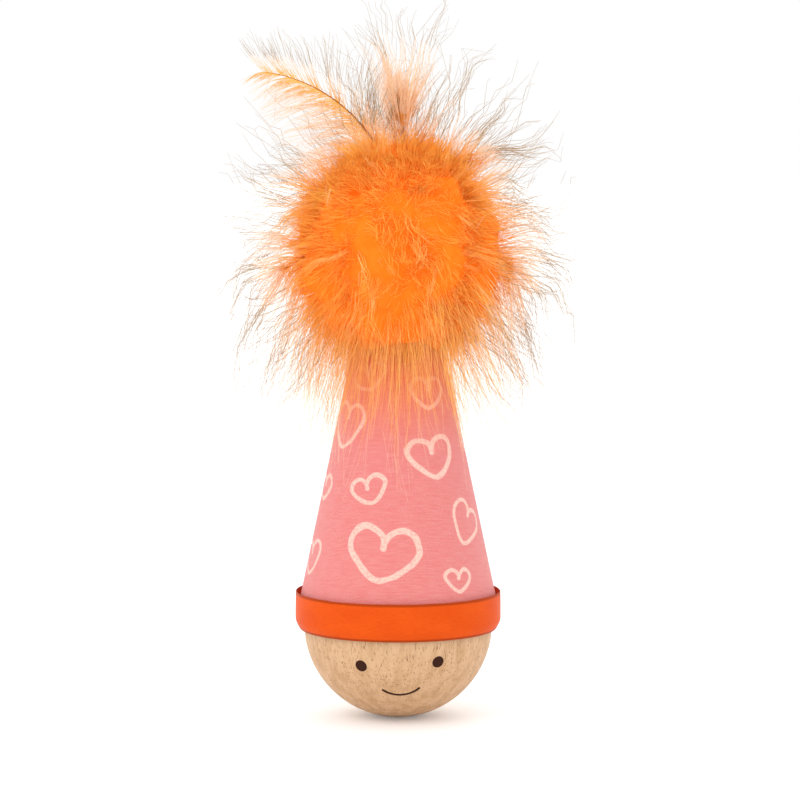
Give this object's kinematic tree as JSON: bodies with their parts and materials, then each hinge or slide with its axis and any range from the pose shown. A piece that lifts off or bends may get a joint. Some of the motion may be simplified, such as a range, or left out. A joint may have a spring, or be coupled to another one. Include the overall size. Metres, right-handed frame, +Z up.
{
  "type": "wobble cat toy",
  "caption": "Self-righting wobble toy for a cat: weighted beech ball base with a face, cloth covered cone with a bell inside, satin ribbon and a tuft of soft feathers on top.",
  "frame": {"origin": "the middle of the small flat under the ball, on the cone's axis", "axes": "+Z up along the cone's axis, the face looks towards -Y, +X to the right as seen from the front"},
  "size_m": [0.0868, 0.0806, 0.178],
  "materials": {
    "beech": "sanded, matt clear coat",
    "weight_steel": "turned",
    "plywood": "raw",
    "dark_mark": "matt paint",
    "paperboard": "uncoated",
    "printed_cotton": "plain weave, printed",
    "satin_ribbon": "satin",
    "plug_wood": "raw",
    "quill_binding": "waxed thread",
    "plated_wire": "nickel plated",
    "bell_brass": "polished",
    "pellet_steel": "bright",
    "downy_feather": "soft down",
    "long_feather_vane": "soft vane"
  },
  "bodies": {
    "root": {"base": "beech", "ballast_weight": "weight_steel", "ballast_lid": "plywood", "left_eye": "dark_mark", "right_eye": "dark_mark", "smile": "dark_mark", "cone_core": "paperboard", "cone_cover": "printed_cotton", "ribbon_band": "satin_ribbon", "tip_plug": "plug_wood", "bell_eye": "plated_wire"},
    "quill_bundle": {"stem_binding": "quill_binding"},
    "downy_tuft": {"lower_feather_1": "downy_feather", "lower_feather_2": "downy_feather", "lower_feather_3": "downy_feather", "lower_feather_4": "downy_feather", "lower_feather_5": "downy_feather", "lower_feather_6": "downy_feather", "middle_feather_1": "downy_feather", "middle_feather_2": "downy_feather", "middle_feather_3": "downy_feather", "middle_feather_4": "downy_feather", "middle_feather_5": "downy_feather", "upper_feather_1": "downy_feather", "upper_feather_2": "downy_feather", "reach_feather": "downy_feather"},
    "long_plume": {"long_feather": "long_feather_vane"},
    "link": {"bell_link": "plated_wire"},
    "bell": {"bell_upper_shell": "bell_brass", "bell_lower_shell": "bell_brass"},
    "pellet": {"bell_pellet": "pellet_steel"}
  },
  "joints": [
    {"name": "tuft_sway", "type": "hinge", "parent": "root", "child": "quill_bundle", "pos_m": [0, 0, 0.1189], "axis": [0, 1, 0], "range_deg": [-12, 12], "stiffness_Nm_per_rad": 0.01},
    {"name": "tuft_nod", "type": "hinge", "parent": "quill_bundle", "child": "downy_tuft", "pos_m": [0, 0, 0.1259], "axis": [1, 0, 0], "range_deg": [-12, 12], "stiffness_Nm_per_rad": 0.01},
    {"name": "long_feather_bob", "type": "hinge", "parent": "downy_tuft", "child": "long_plume", "pos_m": [0, 0, 0.1259], "axis": [0, 1, 0], "range_deg": [-8, 8], "stiffness_Nm_per_rad": 0.004},
    {"name": "link_swing", "type": "hinge", "parent": "root", "child": "link", "pos_m": [0, 0, 0.10975], "axis": [0, 1, 0], "range_deg": [-20, 20]},
    {"name": "bell_swing", "type": "hinge", "parent": "link", "child": "bell", "pos_m": [0, 0, 0.1067], "axis": [1, 0, 0], "range_deg": [-20, 20]},
    {"name": "pellet_hop", "type": "slide", "parent": "bell", "child": "pellet", "axis": [0, 0, 1], "range_m": [0, 0.0058]}
  ]
}
